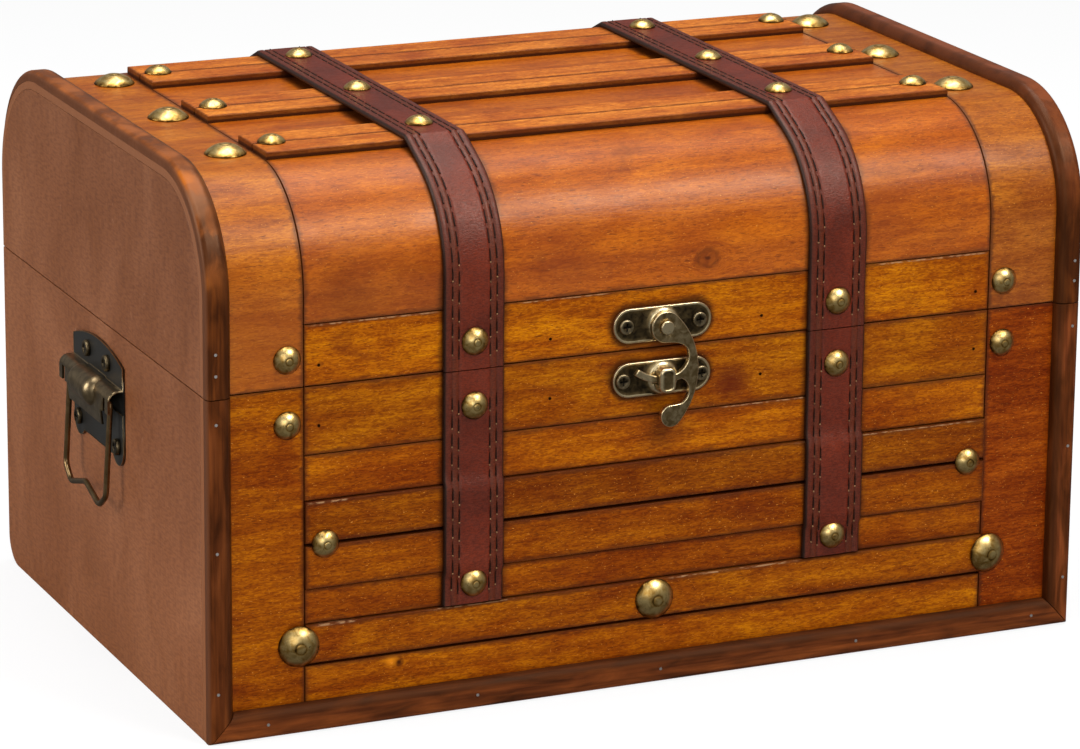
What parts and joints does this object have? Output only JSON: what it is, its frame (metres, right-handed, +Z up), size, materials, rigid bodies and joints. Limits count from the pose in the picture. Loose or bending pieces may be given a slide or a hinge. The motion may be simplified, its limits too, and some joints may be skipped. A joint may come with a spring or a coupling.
{
  "type": "treasure chest",
  "caption": "Wooden treasure chest with a round-shouldered hinged lid, leather straps, domed tacks, a swing hook latch and drop handles on the ends.",
  "frame": {"origin": "middle of the underside, half-way between the ends and between the front mouldings and the back wall", "axes": "+X to the right along the front, +Y from the front to the back, +Z up"},
  "size_m": [0.402, 0.2587, 0.228],
  "materials": {
    "panel_wood": "stained brown board, satin",
    "facing_wood": "stained and varnished pine, satin",
    "moulding_wood": "dark stained half-round, rubbed edges",
    "strap_leather": "dark red-brown grained leather",
    "tack_brass": "antique brass, worn crown",
    "latch_metal": "dark bronze with bright rubbed edges",
    "handle_metal": "dark bronze with bright rubbed edges",
    "hinge_metal": "dark bronze",
    "screw_metal": "dark bronze, worn slots",
    "brad_steel": "small bright pin heads"
  },
  "bodies": {
    "chest": {"back_left_strap": "strap_leather", "back_panel": "panel_wood", "back_right_strap": "strap_leather", "bottom_board": "panel_wood", "bottom_front_moulding": "moulding_wood", "chest_brads": "brad_steel", "chest_large_tacks": "tack_brass", "chest_small_tacks": "tack_brass", "eye_plate": "latch_metal", "eye_plate_screws": "screw_metal", "front_left_strap": "strap_leather", "front_panel": "panel_wood", "front_right_strap": "strap_leather", "front_slat_1": "facing_wood", "front_slat_2": "facing_wood", "front_slat_3": "facing_wood", "front_slat_4": "facing_wood", "front_slat_5": "facing_wood", "front_slat_6": "facing_wood", "front_slat_7": "facing_wood", "handle_screws": "screw_metal", "hinge_lower_leaves": "hinge_metal", "hinge_lower_screws": "hinge_metal", "hinge_pins": "hinge_metal", "left_end_panel": "panel_wood", "left_front_corner_board": "facing_wood", "left_front_moulding": "moulding_wood", "left_handle_plate": "handle_metal", "right_end_panel": "panel_wood", "right_front_corner_board": "facing_wood", "right_front_moulding": "moulding_wood", "right_handle_plate": "handle_metal"},
    "lid": {"hinge_upper_leaves": "hinge_metal", "hinge_upper_screws": "hinge_metal", "latch_plate": "latch_metal", "latch_plate_screws": "screw_metal", "latch_rivet": "latch_metal", "left_lid_band": "facing_wood", "left_lid_end": "panel_wood", "left_lid_moulding": "moulding_wood", "left_lid_strap": "strap_leather", "lid_brads": "brad_steel", "lid_front_slat": "facing_wood", "lid_large_tacks": "tack_brass", "lid_shell": "panel_wood", "lid_skin": "facing_wood", "lid_small_tacks": "tack_brass", "right_lid_band": "facing_wood", "right_lid_end": "panel_wood", "right_lid_moulding": "moulding_wood", "right_lid_strap": "strap_leather", "top_slat_1": "facing_wood", "top_slat_2": "facing_wood", "top_slat_3": "facing_wood", "top_slat_4": "facing_wood", "top_slat_5": "facing_wood", "top_slat_6": "facing_wood"},
    "hook": {"latch_hook": "latch_metal"},
    "left_bail": {"left_bail": "handle_metal"},
    "right_bail": {"right_bail": "handle_metal"}
  },
  "joints": [
    {"name": "lid_hinge", "type": "hinge", "parent": "chest", "child": "lid", "pos_m": [0, 0.1279, 0.139], "axis": [-1, 0, 0], "range_deg": [0, 100]},
    {"name": "hook_pivot", "type": "hinge", "parent": "lid", "child": "hook", "pos_m": [0.002, -0.1245, 0.1482], "axis": [0, -1, 0], "range_deg": [0, 100]},
    {"name": "left_bail_swing", "type": "hinge", "parent": "chest", "child": "left_bail", "pos_m": [-0.1944, 0, 0.112], "axis": [0, 1, 0], "range_deg": [0, 85]},
    {"name": "right_bail_swing", "type": "hinge", "parent": "chest", "child": "right_bail", "pos_m": [0.1944, 0, 0.112], "axis": [0, -1, 0], "range_deg": [0, 85]}
  ]
}
